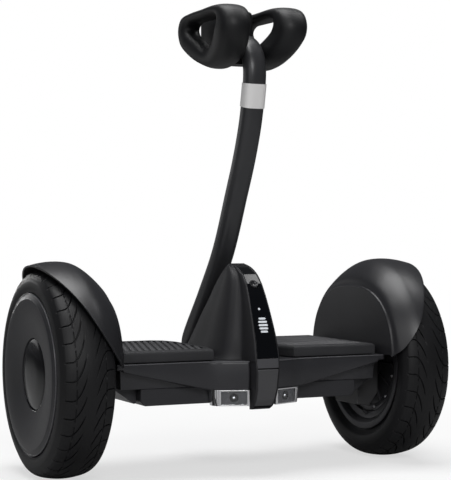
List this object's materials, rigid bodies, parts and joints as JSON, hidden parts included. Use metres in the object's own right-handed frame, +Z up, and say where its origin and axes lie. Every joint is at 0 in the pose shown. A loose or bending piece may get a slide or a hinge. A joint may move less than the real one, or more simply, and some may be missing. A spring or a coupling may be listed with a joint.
{
  "type": "self-balancing scooter",
  "caption": "Self-balancing scooter with a hub-motor wheel at each end of a low deck, ribbed foot mats, a domed display housing and a leaning knee bar with padded loops.",
  "frame": {"origin": "on the ground midway between the two tyres' contact points, straight below the wheel axle", "axes": "+X to the rider's right along the wheel axle, +Y forward, +Z up"},
  "size_m": [0.548, 0.262, 0.5961],
  "materials": {
    "tyre_rubber": "matt black moulded rubber",
    "black_rubber": "matt black rubber",
    "pad_foam": "satin black moulded foam skin",
    "painted_alloy": "satin black powder coat on cast alloy",
    "bare_alloy": "machined grey",
    "black_plastic": "satin black",
    "gloss_panel": "gloss black",
    "pale_plastic": "satin pale grey",
    "steel": "ground",
    "plated_trim": "satin plated",
    "clear_lens": "clear",
    "wound_core": "laminated core with copper winding",
    "circuit_board": "green circuit board",
    "cell_wrap": "blue shrink wrap over metal cells"
  },
  "bodies": {
    "base": {"band_tile": "black_plastic", "battery_case": "painted_alloy", "battery_cell_pack": "cell_wrap", "battery_management_board": "circuit_board", "central_housing": "black_plastic", "centring_spring": "steel", "charge_port_socket": "gloss_panel", "control_board": "circuit_board", "deck_frame_casting": "painted_alloy", "display_window": "gloss_panel", "front_steering_bearing": "steel", "lean_angle_sensor": "black_plastic", "left_axle": "steel", "left_axle_bracket": "bare_alloy", "left_fender": "black_plastic", "left_foot_mat": "black_rubber", "left_foot_sensor_board": "circuit_board", "left_motor_stator": "wound_core", "left_tail_lamp_bezel": "plated_trim", "left_tail_lamp_lens": "clear_lens", "left_tail_lamp_reflector": "plated_trim", "rear_steering_bearing": "steel", "right_axle": "steel", "right_axle_bracket": "bare_alloy", "right_fender": "black_plastic", "right_foot_mat": "black_rubber", "right_foot_sensor_board": "circuit_board", "right_motor_stator": "wound_core", "right_tail_lamp_bezel": "plated_trim", "right_tail_lamp_lens": "clear_lens", "right_tail_lamp_reflector": "plated_trim", "steering_pillow_block": "bare_alloy"},
    "left_wheel": {"left_tyre": "tyre_rubber", "left_hub_motor_shell": "bare_alloy", "left_valve_stem": "black_rubber", "left_wheel_cover": "black_plastic", "left_centre_cap": "black_plastic", "left_outer_bearing": "steel", "left_motor_side_cover": "painted_alloy", "left_inner_bearing": "steel", "left_magnet_ring": "steel"},
    "right_wheel": {"right_tyre": "tyre_rubber", "right_hub_motor_shell": "bare_alloy", "right_valve_stem": "black_rubber", "right_wheel_cover": "black_plastic", "right_centre_cap": "black_plastic", "right_outer_bearing": "steel", "right_motor_side_cover": "painted_alloy", "right_inner_bearing": "steel", "right_magnet_ring": "steel"},
    "steering": {"knee_bar": "painted_alloy", "bar_socket": "painted_alloy", "steering_shaft": "steel", "label_band": "pale_plastic", "pad_bracket": "black_plastic", "left_knee_pad": "pad_foam", "right_knee_pad": "pad_foam"},
    "power_button": {"power_button": "black_plastic"},
    "charge_port_cover": {"charge_port_cover": "black_rubber"},
    "bar_lock_lever": {"bar_lock_lever": "bare_alloy"}
  },
  "joints": [
    {"name": "left_wheel_spin", "type": "hinge", "parent": "base", "child": "left_wheel", "pos_m": [-0.2362, 0, 0.131], "axis": [1, 0, 0], "continuous": true},
    {"name": "right_wheel_spin", "type": "hinge", "parent": "base", "child": "right_wheel", "pos_m": [0.2362, 0, 0.131], "axis": [1, 0, 0], "continuous": true},
    {"name": "knee_bar_lean", "type": "hinge", "parent": "base", "child": "steering", "pos_m": [0, 0, 0.127], "axis": [0, 1, 0], "range_deg": [-14, 14], "stiffness_Nm_per_rad": 30},
    {"name": "power_button_press", "type": "slide", "parent": "base", "child": "power_button", "axis": [0, 0.8153, -0.5791], "range_m": [0, 0.001], "stiffness_N_per_m": 400},
    {"name": "charge_port_cover_swing", "type": "hinge", "parent": "base", "child": "charge_port_cover", "pos_m": [0, -0.1221, 0.13618], "axis": [-1, 0, 0], "range_deg": [0, 110]},
    {"name": "bar_lock_lever_swing", "type": "hinge", "parent": "steering", "child": "bar_lock_lever", "pos_m": [0, 0.12885, 0.1428], "axis": [1, 0, 0], "range_deg": [0, 75]}
  ]
}
